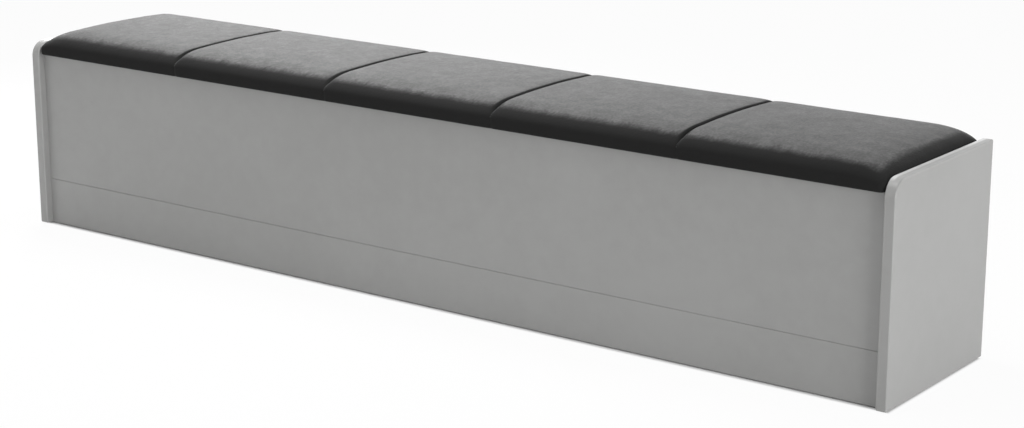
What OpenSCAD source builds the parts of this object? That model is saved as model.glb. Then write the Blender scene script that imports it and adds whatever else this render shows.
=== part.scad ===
// Long upholstered storage bench: two end panels, a recessed front with a plinth board,
// two storage bays and a padded lid in sewn sections, hinged along the back.
// Origin on the floor under the middle of the bench: X along it, the front towards -Y, Z up.

/* [Overall] */
// Length over the two end panels
bench_length = 2200; // [1900:10:2400]
// Depth of the end panels from front to back
bench_depth = 395; // [380:5:440]
// Height of the end panels above the floor
panel_height = 430; // [420:5:470]

/* [Boards] */
// Thickness of the end panels
end_board = 22; // [18:1:28]
// Thickness of the front, plinth and back boards
face_board = 18; // [16:1:22]
// How far the front panel and the plinth board stand in from the end panels' front edges
front_recess = 17; // [12:1:26]
// How far the back panel stands in from the end panels' back edges
back_recess = 12; // [8:1:16]
// How far the front panel's top edge lies below the top of the end panels
front_drop = 29.5; // [26:0.5:32]
// Height of the joint between plinth board and front panel above the floor
plinth_top = 107; // [95:1:130]
// Thickness of the storage floor
base_board = 16; // [12:1:19]
// Thickness of the board that divides the two bays
divider_board = 16; // [16:1:22]
// Radius of the front shoulder of the end panels
shoulder_r = 34; // [20:1:40]
// Softened edge all round the end panels
arris_r = 2.5; // [1:0.5:4]
// Softened edge of the front, plinth and back boards
band_r = 1; // [0.5:0.5:2]
// Visible seam between the plinth board and the front panel
joint_gap = 0.4; // [0.2:0.1:1]
// Width and height of the battens under the storage floor
batten = 20; // [18:1:24]

/* [Seat] */
// Thickness of the lid board
lid_board_t = 16; // [12:1:19]
// Number of padded sections
seat_sections = 5; // [3:1:7]
// Height of the padding's edge line above the underside of the lid
seat_rise = 53.5; // [50:0.5:60]
// Extra height of the crown in the middle of the seat
seat_crown = 3; // [1:0.5:6]
// Extra height in the middle of each section
section_crown = 2; // [0:0.5:4]
// Depth of the sewn channels between the sections
channel_depth = 5; // [3:0.5:6]
// Distance over which the padding draws down into a channel
channel_run = 26; // [15:1:35]
// How far the front edge rolls over, front to back
front_roll = 88; // [50:1:100]
// Height of the roundest point of the rolled edges above the underside of the lid
roll_level = 19.5; // [18:0.5:24]
// How far the back edge rolls over
back_roll = 50; // [16:1:60]
// How far the ends roll over
end_roll = 82; // [44:1:110]
// How much lower the padding is at its very ends
end_fall = 29; // [15:1:32]
// How far the corners are drawn in at the ends
corner_in = 12; // [6:1:14]
// Distance from the ends over which the corners are drawn in
corner_run = 30; // [24:1:45]
// How far the lower edge of the cover is drawn in
skirt_in = 5; // [2:1:6]
// How far the padding runs back past the hinge axis
seat_overhang = 4; // [2:0.5:4]
// Gap between the padding and each end panel
seat_gap = 1.5; // [1:0.1:3]
// Cover and wadding round the sides of the lid board
wrap = 7.5; // [6:0.5:9]
// Cover and wadding over the foam
cover_t = 8; // [7:0.5:10]
// Corner radius of the lid board in plan
lid_corner = 20; // [14:1:30]
// Thickness of the lining under the lid
lining_t = 0.8; // [0.5:0.1:1.1]
// Height of the soft pads that the lid lies on
pad_t = 2; // [2:0.1:3]

/* [Hinges] */
// Length of a hinge
hinge_length = 90; // [60:5:120]
// Thickness of a hinge leaf
leaf_t = 1.5; // [1.2:0.1:1.8]
// Space between the closed leaves
leaf_gap = 0.4; // [0.3:0.1:0.8]
// Radius of the hinge barrel
barrel_r = 3.5; // [3.2:0.1:4]
// Radius of the hinge pin
hinge_pin_r = 1.75; // [1.5:0.05:1.9]
// Distance from the end panels to the middle of the outer hinges
hinge_inset = 170; // [120:10:240]

/* [Lid stays] */
// How far the lid opens
lid_opening = 80; // [70:1:85]
// Distance from the hinge axis to the arm's pivot, and to the stud that guides its slot
stay_reach = 140; // [120:1:150]
// Height of the arm's pivot below the hinge axis
stay_drop = 14; // [13:0.5:18]
// Angle at the hinge axis between pivot and guide stud with the lid shut
stay_angle = 25; // [22:1:30]
// Width of the slotted arm
arm_width = 18; // [16:1:20]
// Thickness of the slotted arm
arm_t = 2.5; // [2:0.1:3]
// Radius of the pivot and of the guide stud
stud_r = 3; // [2.5:0.1:3.5]
// Thickness of the plate and of the bracket
plate_t = 2; // [1.5:0.1:2.5]

/* [Fittings] */
// Radius of a cam
cam_r = 7.5; // [6:0.5:7.5]
// Depth of a cam
cam_depth = 12.5; // [12:0.5:13]
// Distance from a board's end to its cams
cam_setback = 34; // [30:1:40]
// Radius of a wooden dowel
dowel_r = 4; // [3:0.5:4]
// Length of a wooden dowel
dowel_length = 30; // [24:1:36]
// Radius of the floor glides
glide_r = 7; // [5:0.5:7]
// Thickness of the floor glides
glide_t = 2; // [1.5:0.5:4]
// Radius of the soft pads that the lid lies on
pad_r = 4; // [3:0.5:6]
// Shank radius of the wood screws
screw_r = 1.6; // [1.3:0.1:1.8]
// Head radius of the wood screws
screw_head_r = 3.2; // [2.8:0.1:3.4]

/* [Hidden] */
$fn = 48;

panel_grey = [0.60, 0.60, 0.60];
cover_grey = [0.20, 0.20, 0.21];
foam_cream = [0.86, 0.82, 0.66];
board_brown = [0.62, 0.50, 0.36];
lining_black = [0.10, 0.10, 0.10];
beech = [0.80, 0.66, 0.47];
steel = [0.72, 0.73, 0.75];
zinc = [0.62, 0.63, 0.65];
pad_clear = [0.85, 0.86, 0.86];
plastic_grey = [0.35, 0.35, 0.36];

// Clearance that a press seat or a screw keeps in its hole
seat_clear = 0.02;
// Running clearance of a pin in its bore
run_clear = 0.05;
// Clearance of soft pieces and of boards that are laid in
soft_gap = 0.3;
// Clearance between pieces that pass each other without touching
pass_gap = 0.2;
// How far a cutting shape runs past the face that it cuts
over = 1;

// Main planes of the bench
half_x = bench_length / 2;
half_y = bench_depth / 2;
inner_x = half_x - end_board;
front_face = -half_y + front_recess;
front_inner = front_face + face_board;
back_face = half_y - back_recess;
back_inner = back_face - face_board;
front_top = panel_height - front_drop;
lid_under = front_top + pad_t;
hinge_z = lid_under - leaf_gap / 2 - leaf_t;
hinge_y = back_face + barrel_r;
back_top = hinge_z - leaf_gap / 2 - leaf_t;
face_mid = face_board / 2;
divider_half = divider_board / 2;
base_overlap = 8;
base_top = plinth_top + base_overlap;
base_under = base_top - base_board;

// Outline of the padding
seat_end = inner_x - seat_gap;
seat_front = -half_y;
seat_back = hinge_y + seat_overhang;
section_length = 2 * inner_x / seat_sections;
edge_top = lid_under + seat_rise;
roll_z = lid_under + roll_level;
skirt_lift = 0.6;
skirt_front = lid_under + skirt_lift;
skirt_back = hinge_z + barrel_r + skirt_lift;
lid_front = seat_front + wrap;
lid_back = hinge_y - barrel_r - pass_gap - soft_gap;
lid_top = lid_under + lid_board_t;
lid_end = seat_end - wrap;
lining_inset = 50;
lining_edge = 5;
foam_end = seat_end - corner_run;
foam_step = 30;
front_centre = seat_front + front_roll;
back_centre = seat_back - back_roll;
top_mid = (front_centre + back_centre) / 2;
top_half = (back_centre - front_centre) / 2;

// How finely the padding follows its rolls, channels and ends
top_steps = 5;
roll_step = 15;
back_step = 22.5;
seam_steps = [0, 0.2, 0.5, 1];
end_steps = [0, 0.05, 0.14, 0.28, 0.55, 1];
middle_steps = [-0.25, 0, 0.25];

// Places of the fittings. A dowel goes deeper into the board's end than into the end panel.
dowel_in = 4;
end_screw = 14;
batten_screw = 32;
divider_screw = 27;
divider_screw_shift = 12;
cam_cut = 1.6;
cam_cut_depth = 2;
// The crossed drive of a screw or cam: half its length as a share of the head's radius,
// and the share of a screw head's height that it is deep
drive_half = 0.6;
drive_depth = 0.8;
screw_cut = 0.7;
front_cam_mid = cam_depth - face_mid;
divider_cam_mid = cam_depth - divider_half;
bolt_seat = cam_setback - 2;
divider_cam_low = 80;
divider_cam_high = 70;
divider_levels = [plinth_top + divider_cam_low, front_top - divider_cam_high];
batten_z = base_under - batten;
bay_length = inner_x - divider_half;
batten_screw_inset = 90;
cross_batten_start = front_inner + batten;
cross_batten_length = back_inner - batten - cross_batten_start;
cross_screw_shares = [1 / 6, 5 / 6];
bay_screw_places = [for (i = [0:2])
    divider_half + batten_screw_inset + i * (bay_length - 2 * batten_screw_inset) / 2];
cam_from_edge = 60;
front_cam_levels = [plinth_top + cam_from_edge, front_top - cam_from_edge];
plinth_cam_level = plinth_top / 2;
back_cam_levels = [cam_from_edge, back_top / 2, back_top - cam_from_edge];
front_dowel_from_edge = 100;
front_dowel_levels = [plinth_top + front_dowel_from_edge, front_top - front_dowel_from_edge];
back_dowel_from_edge = 110;
back_dowel_levels = [back_dowel_from_edge, back_top - back_dowel_from_edge];
bolt_thread_r = 2.5;
bolt_thread = 10;
bolt_r = 3.2;
bolt_bore_r = 4;
plinth_dowel_count = 6;
plinth_dowel_inset = 120;
glide_inset = 40;
glide_nail_r = 1;
glide_nail = 12;
pad_inset = 60;
pad_count = 5;

// The leaves are narrower than the board that they lie on
leaf_setback = 3;
leaf_edge = hinge_y - barrel_r - pass_gap;
leaf_width = leaf_edge - back_inner - leaf_setback;
knuckles = 5;
knuckle_gap = pass_gap;
knuckle = hinge_length / knuckles;
leaf_screw_length = 14;
leaf_screw_places = [-hinge_length / 3, 0, hinge_length / 3];
hinge_span = 2 * (inner_x - hinge_inset);
hinge_places = [for (i = [0:3]) -hinge_span / 2 + i * hinge_span / 3];

// The pivot and the stud lie on one circle about the hinge axis,
// so the arm turns half as far as the lid and its slot always passes over the stud.
pivot_below = asin(stay_drop / stay_reach);
pivot_y = hinge_y - stay_reach * cos(pivot_below);
pivot_z = hinge_z - stay_drop;
stud_y = hinge_y - stay_reach * cos(pivot_below + stay_angle);
stud_z = hinge_z - stay_reach * sin(pivot_below + stay_angle);
arm_short = 2 * stay_reach * sin(stay_angle / 2);
arm_long = 2 * stay_reach * sin((stay_angle + lid_opening) / 2);
arm_turn = atan2(stud_z - pivot_z, stud_y - pivot_y);
slot_r = stud_r + 0.3;
notch_depth = 2.2;
arm_nose = 13;
arm_end = arm_long + arm_nose;
plate_corner = 4;
plate_length = 44;
plate_width = 26;
plate_hole = 14;
bracket_width = 30;
bracket_length = 36;
bracket_hole = 11;
bracket_screw = 14;
flange_round = 9;
flange_lift = 6;
rivet_head = 1.5;
rivet_head_r = 5;
washer_t = 0.5;
head_r = 6;
head_t = 2;
collar = 2;
// Distances from the end panel's inner face, inwards
arm_outer = 5.5;
arm_inner = arm_outer + arm_t;
flange_outer = arm_inner + washer_t;
flange_inner = flange_outer + plate_t;

// Rectangle with rounded corners, its lowest corner at the origin
module soft_rect(width, height, r) {
    translate([r, 0]) square([width - 2 * r, height]);
    translate([0, r]) square([width, height - 2 * r]);
    for (x = [r, width - r], y = [r, height - r]) {
        translate([x, y]) circle(r);
    }
}

// Board that runs along X, with its four long edges softened
module long_board(x, y, z, length, thickness, height, r) {
    translate([x, y, z]) rotate([90, 0, 90])
        linear_extrude(length) soft_rect(thickness, height, r);
}

// Cylinders along X and Y, starting at the given point
module rod_x(r, length) {
    rotate([0, 90, 0]) cylinder(h = length, r = r);
}

module rod_y(r, length) {
    rotate([-90, 0, 0]) cylinder(h = length, r = r);
}

// Countersunk screw that points up, the face of its head at the origin
module screw(length, clear = 0) {
    head_h = screw_head_r - screw_r;
    difference() {
        union() {
            cylinder(h = head_h, r1 = screw_head_r + clear, r2 = screw_r + clear);
            cylinder(h = length + clear, r = screw_r + clear);
        }
        if (clear == 0) {
            for (turn = [0, 90]) {
                rotate(turn) translate([-drive_half * screw_head_r, -screw_cut / 2, -over])
                    cube([2 * drive_half * screw_head_r, screw_cut, over + head_h * drive_depth]);
            }
        }
    }
}

// Every place where a board end meets an end panel: y of the board, height, and its kind
module at_corners(front_levels, back_levels) {
    for (z = front_levels) {
        translate([0, front_face + face_mid, z]) children();
    }
    for (z = back_levels) {
        translate([0, back_face - face_mid, z]) children();
    }
}

module at_cam_corners() {
    at_corners(concat([plinth_cam_level], front_cam_levels), back_cam_levels) children();
}

module at_dowel_corners() {
    at_corners(front_dowel_levels, back_dowel_levels) children();
}

module at_glides() {
    for (y = [-half_y + glide_inset, half_y - glide_inset]) {
        translate([0, y, 0]) children();
    }
}

// Holes in the inner face of the right end panel
module end_panel_holes() {
    at_cam_corners() translate([inner_x - over, 0, 0])
        rod_x(bolt_thread_r + seat_clear, bolt_thread + over + soft_gap);
    at_dowel_corners() translate([inner_x - over, 0, 0])
        rod_x(dowel_r + seat_clear, dowel_length / 2 - dowel_in + over + soft_gap);
    at_glides() translate([inner_x + end_board / 2, 0, glide_t - over])
        cylinder(h = glide_nail + over + soft_gap, r = glide_nail_r + seat_clear);
    stay_plate_places() rotate([0, 90, 0]) screw(end_screw, seat_clear);
    end_batten_places() rotate([0, 90, 0]) screw(batten_screw, seat_clear);
}

module end_panel() {
    color(panel_grey) difference() {
        intersection() {
            translate([inner_x, -half_y, glide_t])
                linear_extrude(panel_height - glide_t) soft_rect(end_board, bench_depth, arris_r);
            translate([inner_x, half_y, glide_t]) rotate([90, 0, 0])
                linear_extrude(bench_depth) soft_rect(end_board, panel_height - glide_t, arris_r);
            translate([inner_x, 0, 0]) rotate([90, 0, 90]) linear_extrude(end_board) end_outline();
        }
        end_panel_holes();
    }
}

// Side view of an end panel, with its round front shoulder
module end_outline() {
    translate([-half_y, glide_t]) square([bench_depth, panel_height - glide_t - shoulder_r]);
    translate([-half_y + shoulder_r, glide_t])
        square([bench_depth - shoulder_r, panel_height - glide_t]);
    translate([-half_y + shoulder_r, panel_height - shoulder_r]) circle(shoulder_r, $fn = 96);
}

// Cam with a crossed drive on its face and a bore along X for its bolt, at the height mid
module cam(mid) {
    difference() {
        cylinder(h = cam_depth, r = cam_r);
        translate([0, 0, mid]) rod_x(bolt_bore_r, cam_r + over);
        for (turn = [0, 90]) {
            rotate(turn) translate([-drive_half * cam_r, -cam_cut / 2, cam_depth - cam_cut_depth])
                cube([2 * drive_half * cam_r, cam_cut, cam_cut_depth + over]);
        }
    }
}

// Places of the right-hand cams, with the cam's face in the board's inner face
module front_cam_place(z) {
    translate([inner_x - cam_setback, front_inner - cam_depth, z]) rotate([-90, 0, 0]) children();
}

module back_cam_place(z) {
    translate([inner_x - cam_setback, back_inner + cam_depth, z]) rotate([90, 0, 0]) children();
}

module cam_pocket() {
    cylinder(h = cam_depth + over, r = cam_r + seat_clear);
}

// Bores in a board's right end for one bolt or one dowel, on the board's middle plane
module bolt_bore() {
    translate([inner_x - cam_setback, 0, 0]) rod_x(bolt_bore_r, cam_setback + over);
}

module dowel_bore() {
    translate([inner_x - dowel_length / 2 - dowel_in - soft_gap, 0, 0])
        rod_x(dowel_r + seat_clear, dowel_length / 2 + dowel_in + soft_gap + over);
}

module both_ends() {
    children();
    mirror([1, 0, 0]) children();
}

module front_panel() {
    bottom = plinth_top + joint_gap / 2;
    color(panel_grey) difference() {
        long_board(-inner_x, front_face, bottom, 2 * inner_x, face_board, front_top - bottom, band_r);
        both_ends() {
            for (z = front_cam_levels) {
                front_cam_place(z) cam_pocket();
                translate([0, front_face + face_mid, z]) bolt_bore();
            }
            for (z = front_dowel_levels) {
                translate([0, front_face + face_mid, z]) dowel_bore();
            }
        }
        plinth_dowel_places() dowel_hole();
        divider_bolt_places() rotate([90, 0, 0])
            cylinder(h = bolt_thread + soft_gap, r = bolt_thread_r + seat_clear);
    }
}

module plinth_board() {
    color(panel_grey) difference() {
        long_board(-inner_x, front_face, glide_t, 2 * inner_x, face_board,
            plinth_top - joint_gap / 2 - glide_t, band_r);
        both_ends() {
            front_cam_place(plinth_cam_level) cam_pocket();
            translate([0, front_face + face_mid, plinth_cam_level]) bolt_bore();
        }
        plinth_dowel_places() dowel_hole();
        front_batten_screw_places() rotate([90, 0, 0]) screw(batten_screw, seat_clear);
    }
}

module back_panel() {
    color(panel_grey) difference() {
        long_board(-inner_x, back_inner, glide_t, 2 * inner_x, face_board, back_top - glide_t, band_r);
        both_ends() {
            for (z = back_cam_levels) {
                back_cam_place(z) cam_pocket();
                translate([0, back_face - face_mid, z]) bolt_bore();
            }
            for (z = back_dowel_levels) {
                translate([0, back_face - face_mid, z]) dowel_bore();
            }
        }
        back_divider_bolt_places() rotate([-90, 0, 0])
            cylinder(h = bolt_thread + soft_gap, r = bolt_thread_r + seat_clear);
        back_batten_screw_places() rotate([-90, 0, 0]) screw(batten_screw, seat_clear);
        hinge_screw_places() translate([0, 0, leaf_t]) mirror([0, 0, 1])
            screw(leaf_screw_length, seat_clear);
    }
}

// Dowels stand upright in the joint between plinth board and front panel
module plinth_dowel_places() {
    span = 2 * (inner_x - plinth_dowel_inset);
    for (i = [0:plinth_dowel_count - 1]) {
        translate([-span / 2 + i * span / (plinth_dowel_count - 1), front_face + face_mid,
            plinth_top]) children();
    }
}

module dowel_hole() {
    translate([0, 0, -dowel_length / 2 - soft_gap])
        cylinder(h = dowel_length + 2 * soft_gap, r = dowel_r + seat_clear);
}

module plinth_dowels() {
    color(beech) plinth_dowel_places() translate([0, 0, -dowel_length / 2])
        cylinder(h = dowel_length, r = dowel_r);
}

// The divider stands on the floor between the two bays, held by cams in its left side
module divider_bolt_places() {
    for (z = divider_levels) {
        translate([0, front_inner, z]) children();
    }
}

module back_divider_bolt_places() {
    for (z = divider_levels) {
        translate([0, back_inner, z]) children();
    }
}

module divider_cam_places() {
    for (z = divider_levels) {
        translate([-divider_half + cam_depth, front_inner + cam_setback, z])
            rotate([0, -90, 0]) rotate(-90) children();
        translate([-divider_half + cam_depth, back_inner - cam_setback, z])
            rotate([0, -90, 0]) rotate(90) children();
    }
}

module divider_glide_places() {
    for (y = [front_inner + glide_inset, back_inner - glide_inset]) {
        translate([0, y, 0]) children();
    }
}

module centre_divider() {
    color(panel_grey) difference() {
        translate([-divider_half, front_inner, glide_t])
            cube([divider_board, back_inner - front_inner, front_top - glide_t]);
        divider_cam_places() cam_pocket();
        for (z = divider_levels) {
            translate([0, front_inner - over, z]) rod_y(bolt_bore_r, cam_setback + over);
            translate([0, back_inner - cam_setback, z]) rod_y(bolt_bore_r, cam_setback + over);
        }
        divider_glide_places() translate([0, 0, glide_t - over])
            cylinder(h = glide_nail + over + soft_gap, r = glide_nail_r + seat_clear);
        divider_batten_places() rotate([0, -90, 0]) screw(divider_screw, seat_clear);
    }
}

module divider_cams() {
    color(zinc) divider_cam_places() cam(divider_cam_mid);
}

// A bolt lies along X: its thread in the panel, its shank ending in the cam
module bolt() {
    translate([-bolt_seat, 0, 0]) rod_x(bolt_r, bolt_seat);
    rod_x(bolt_thread_r, bolt_thread);
}

module divider_bolts() {
    color(zinc) {
        for (z = divider_levels) {
            translate([0, front_inner, z]) rotate(-90) bolt();
            translate([0, back_inner, z]) rotate(90) bolt();
        }
    }
}

module corner_bolts() {
    color(zinc) both_ends() at_cam_corners() translate([inner_x, 0, 0]) bolt();
}

module corner_cams() {
    color(zinc) both_ends() {
        for (z = concat([plinth_cam_level], front_cam_levels)) {
            front_cam_place(z) cam(front_cam_mid);
        }
        for (z = back_cam_levels) {
            back_cam_place(z) cam(front_cam_mid);
        }
    }
}

module corner_dowels() {
    color(beech) both_ends() at_dowel_corners()
        translate([inner_x - dowel_length / 2 - dowel_in, 0, 0]) rod_x(dowel_r, dowel_length);
}

// Storage floor: one board in each bay, laid on battens
module base_panel() {
    color(panel_grey) translate([divider_half + soft_gap, front_inner + soft_gap, base_under])
        cube([inner_x - divider_half - 2 * soft_gap, back_inner - front_inner - 2 * soft_gap,
            base_board]);
}

module batten_bar(x, y, length_x, length_y) {
    translate([x, y, batten_z]) cube([length_x, length_y, batten]);
}

module front_batten_screw_places() {
    both_ends() {
        for (x = bay_screw_places) {
            translate([x, front_inner + batten, batten_z + batten / 2]) children();
        }
    }
}

module back_batten_screw_places() {
    both_ends() {
        for (x = bay_screw_places) {
            translate([x, back_inner - batten, batten_z + batten / 2]) children();
        }
    }
}

module cross_places() {
    for (share = cross_screw_shares) {
        translate([0, cross_batten_start + share * cross_batten_length, batten_z + batten / 2])
            children();
    }
}

module end_batten_places() {
    cross_places() translate([inner_x - batten, 0, 0]) children();
}

// Screws come through both divider battens, at places that miss each other
module divider_batten_places() {
    cross_places() translate([divider_half + batten, divider_screw_shift, 0]) children();
    mirror([1, 0, 0]) cross_places()
        translate([divider_half + batten, -divider_screw_shift, 0]) children();
}

module front_battens() {
    color(beech) difference() {
        both_ends() batten_bar(divider_half, front_inner, bay_length, batten);
        front_batten_screw_places() rotate([90, 0, 0]) screw(batten_screw, seat_clear);
    }
}

module back_battens() {
    color(beech) difference() {
        both_ends() batten_bar(divider_half, back_inner - batten, bay_length, batten);
        back_batten_screw_places() rotate([-90, 0, 0]) screw(batten_screw, seat_clear);
    }
}

module end_battens() {
    color(beech) both_ends() difference() {
        batten_bar(inner_x - batten, cross_batten_start, batten, cross_batten_length);
        end_batten_places() rotate([0, 90, 0]) screw(batten_screw, seat_clear);
    }
}

module divider_battens() {
    color(beech) difference() {
        both_ends() batten_bar(divider_half, cross_batten_start, batten, cross_batten_length);
        divider_batten_places() rotate([0, -90, 0]) screw(divider_screw, seat_clear);
    }
}

module batten_screws() {
    color(steel) {
        front_batten_screw_places() rotate([90, 0, 0]) screw(batten_screw);
        back_batten_screw_places() rotate([-90, 0, 0]) screw(batten_screw);
        both_ends() end_batten_places() rotate([0, 90, 0]) screw(batten_screw);
        divider_batten_places() rotate([0, -90, 0]) screw(divider_screw);
    }
}

module glide() {
    cylinder(h = glide_t, r = glide_r);
    cylinder(h = glide_t + glide_nail, r = glide_nail_r);
}

module floor_glides() {
    color(plastic_grey) {
        both_ends() at_glides() translate([inner_x + end_board / 2, 0, 0]) glide();
        divider_glide_places() glide();
    }
}

// Soft pads on the front panel's top edge, under the lid board
module lid_pads() {
    span = 2 * (inner_x - pad_inset);
    color(pad_clear) {
        for (i = [0:pad_count - 1]) {
            translate([-span / 2 + i * span / (pad_count - 1), front_face + face_mid, front_top])
                cylinder(h = pad_t - run_clear, r = pad_r);
        }
    }
}

// Hinges: the fixed leaf lies on the back panel's top edge, the moving leaf under the lid board
module hinge_screw_places() {
    for (x = hinge_places, along = leaf_screw_places) {
        translate([x + along, leaf_edge - leaf_width / 2, back_top]) children();
    }
}

module knuckle_row(first) {
    for (i = [first:2:knuckles - 1]) {
        start = -hinge_length / 2 + i * knuckle + knuckle_gap / 2;
        translate([start, hinge_y, hinge_z]) rod_x(barrel_r, knuckle - knuckle_gap);
        translate([start, leaf_edge - over, hinge_z + leaf_gap / 2])
            cube([knuckle - knuckle_gap, barrel_r + over, leaf_t]);
    }
}

// A leaf with its knuckles, made as the moving one; the fixed one is its mirror image
module leaf(first, clear) {
    difference() {
        union() {
            translate([-hinge_length / 2, leaf_edge - leaf_width, hinge_z + leaf_gap / 2])
                cube([hinge_length, leaf_width, leaf_t]);
            knuckle_row(first);
        }
        translate([-hinge_length / 2 - over, hinge_y, hinge_z])
            rod_x(hinge_pin_r + clear, hinge_length + 2 * over);
        for (x = leaf_screw_places) {
            translate([x, leaf_edge - leaf_width / 2, hinge_z + leaf_gap / 2])
                screw(leaf_screw_length, seat_clear);
        }
    }
}

module moving_leaf(i) {
    color(steel) translate([hinge_places[i], 0, 0]) leaf(1, run_clear);
}

module fixed_leaf(i) {
    color(steel) translate([hinge_places[i], 0, 2 * hinge_z]) mirror([0, 0, 1])
        leaf(0, seat_clear);
}

module hinge_pin(i) {
    color(zinc) translate([hinge_places[i] - hinge_length / 2, hinge_y, hinge_z])
        rod_x(hinge_pin_r, hinge_length);
}

module fixed_leaf_screws() {
    color(steel) hinge_screw_places() translate([0, 0, leaf_t]) mirror([0, 0, 1])
        screw(leaf_screw_length);
}

module moving_screw_places() {
    for (x = hinge_places, along = leaf_screw_places) {
        translate([x + along, leaf_edge - leaf_width / 2, hinge_z + leaf_gap / 2]) children();
    }
}

module moving_leaf_screws() {
    color(steel) moving_screw_places() screw(leaf_screw_length);
}

// Lid stays, made for the right end
module stay_plate_places() {
    for (z = [-plate_hole, plate_hole]) {
        translate([inner_x - plate_t, stud_y, stud_z + z]) children();
    }
}

module stay_plate() {
    color(steel) difference() {
        translate([inner_x - plate_t, stud_y - plate_width / 2, stud_z - plate_length / 2])
            rotate([90, 0, 90]) linear_extrude(plate_t) soft_rect(plate_width, plate_length, plate_corner);
        translate([inner_x - plate_t - over, stud_y, stud_z])
            rod_x(stud_r + seat_clear, plate_t + 2 * over);
        stay_plate_places() rotate([0, 90, 0]) screw(end_screw, seat_clear);
    }
}

module guide_stud() {
    color(zinc) translate([inner_x, stud_y, stud_z]) mirror([1, 0, 0]) {
        rod_x(stud_r, flange_outer + head_t);
        translate([plate_t, 0, 0]) rod_x(stud_r + collar, arm_outer - plate_t - soft_gap);
        translate([arm_inner + soft_gap, 0, 0]) rod_x(head_r, head_t);
    }
}

module stay_plate_screws() {
    color(steel) both_ends() stay_plate_places() rotate([0, 90, 0]) screw(end_screw);
}

// The bracket hangs from the lid board, with its flange beside the arm
module bracket_screw_places() {
    for (y = [-bracket_hole, bracket_hole]) {
        translate([inner_x - flange_inner - bracket_width / 2, pivot_y + y, lid_under - plate_t])
            children();
    }
}

module stay_bracket() {
    flange_x = inner_x - flange_inner;
    color(steel) difference() {
        union() {
            translate([flange_x - bracket_width, pivot_y - bracket_length / 2, lid_under - plate_t])
                cube([bracket_width + plate_t, bracket_length, plate_t]);
            translate([flange_x, pivot_y - bracket_length / 2, pivot_z])
                cube([plate_t, bracket_length, lid_under - pivot_z]);
            translate([flange_x, pivot_y, pivot_z]) rod_x(flange_round, plate_t);
            translate([flange_x, pivot_y - flange_round, pivot_z])
                cube([plate_t, 2 * flange_round, lid_under - pivot_z]);
        }
        translate([flange_x - over, pivot_y - bracket_length, pivot_z - bracket_length])
            cube([plate_t + 2 * over, bracket_length - flange_round, bracket_length + flange_lift]);
        translate([flange_x - over, pivot_y + flange_round, pivot_z - bracket_length])
            cube([plate_t + 2 * over, bracket_length - flange_round, bracket_length + flange_lift]);
        translate([flange_x - over, pivot_y, pivot_z])
            rod_x(stud_r + seat_clear, plate_t + 2 * over);
        bracket_screw_places() screw(bracket_screw, seat_clear);
    }
}

module stay_rivet() {
    color(zinc) translate([inner_x, pivot_y, pivot_z]) mirror([1, 0, 0]) {
        translate([arm_outer - soft_gap - rivet_head, 0, 0]) rod_x(rivet_head_r, rivet_head);
        translate([arm_outer - soft_gap, 0, 0])
            rod_x(stud_r, flange_inner - arm_outer + soft_gap);
        translate([flange_inner, 0, 0]) rod_x(rivet_head_r, rivet_head);
    }
}

module stay_washer() {
    color(pad_clear) translate([inner_x - flange_outer, pivot_y, pivot_z]) difference() {
        rod_x(head_r, washer_t - run_clear);
        translate([-over, 0, 0]) rod_x(stud_r + seat_clear, washer_t + 2 * over);
    }
}

module stay_bracket_screws() {
    color(steel) both_ends() bracket_screw_places() screw(bracket_screw);
}

// Slotted arm: pivoted on the bracket, its slot runs over the guide stud
module stay_arm() {
    color(steel) translate([inner_x - arm_inner, pivot_y, pivot_z]) rotate([arm_turn, 0, 0])
        rotate([90, 0, 90]) linear_extrude(arm_t) difference() {
            union() {
                circle(arm_width / 2);
                translate([0, -arm_width / 2]) square([arm_end - arm_width / 2, arm_width]);
                translate([arm_end - arm_width / 2, 0]) circle(arm_width / 2);
            }
            circle(stud_r + run_clear);
            for (along = [arm_short, arm_long]) {
                translate([along, 0]) circle(slot_r);
            }
            translate([arm_short, -slot_r]) square([arm_long - arm_short, 2 * slot_r]);
            translate([arm_long, notch_depth]) circle(slot_r);
        }
}

// Plate with the outline of the lid board, larger all round by grow
module lid_block(grow, bottom, height) {
    translate([-lid_end - grow, lid_front - grow, bottom]) linear_extrude(height)
        soft_rect(2 * (lid_end + grow), lid_back - lid_front + 2 * grow, lid_corner + grow);
}

// Lid board with the blind holes of its screws
module lid_board() {
    color(board_brown) difference() {
        lid_block(0, lid_under, lid_board_t);
        moving_screw_places() screw(leaf_screw_length, seat_clear);
        both_ends() bracket_screw_places() screw(bracket_screw, seat_clear);
    }
}

module lid_lining() {
    lining_depth = leaf_edge - leaf_width - front_inner - 2 * lining_edge;
    color(lining_black)
        translate([-lid_end + lining_inset, front_inner + lining_edge, lid_under - lining_t])
            cube([2 * (lid_end - lining_inset), lining_depth, lining_t]);
}

// The padding. Its cross-section is rolled at the front and back and crowned on top,
// and every station along X lowers it towards the ends and into the sewn channels.

// Falls from 1 at the very edge to 0 where the roll ends
function rolled(t) = t >= 1 ? 0 : 1 - sqrt(1 - pow(1 - t, 2));

function seam_distance(x) = min([for (k = [1:seat_sections - 1])
    abs(x - (k - seat_sections / 2) * section_length)]);

function in_section(x) = let (u = (x + inner_x) / section_length) u - floor(u);

function swell(x) = section_crown * 4 * in_section(x) * (1 - in_section(x))
    - channel_depth * pow(max(0, 1 - seam_distance(x) / channel_run), 2);

function end_drop(x) = end_fall * rolled((seat_end - abs(x)) / end_roll);

function end_inset(x) = corner_in * rolled((seat_end - abs(x)) / corner_run);

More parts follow.
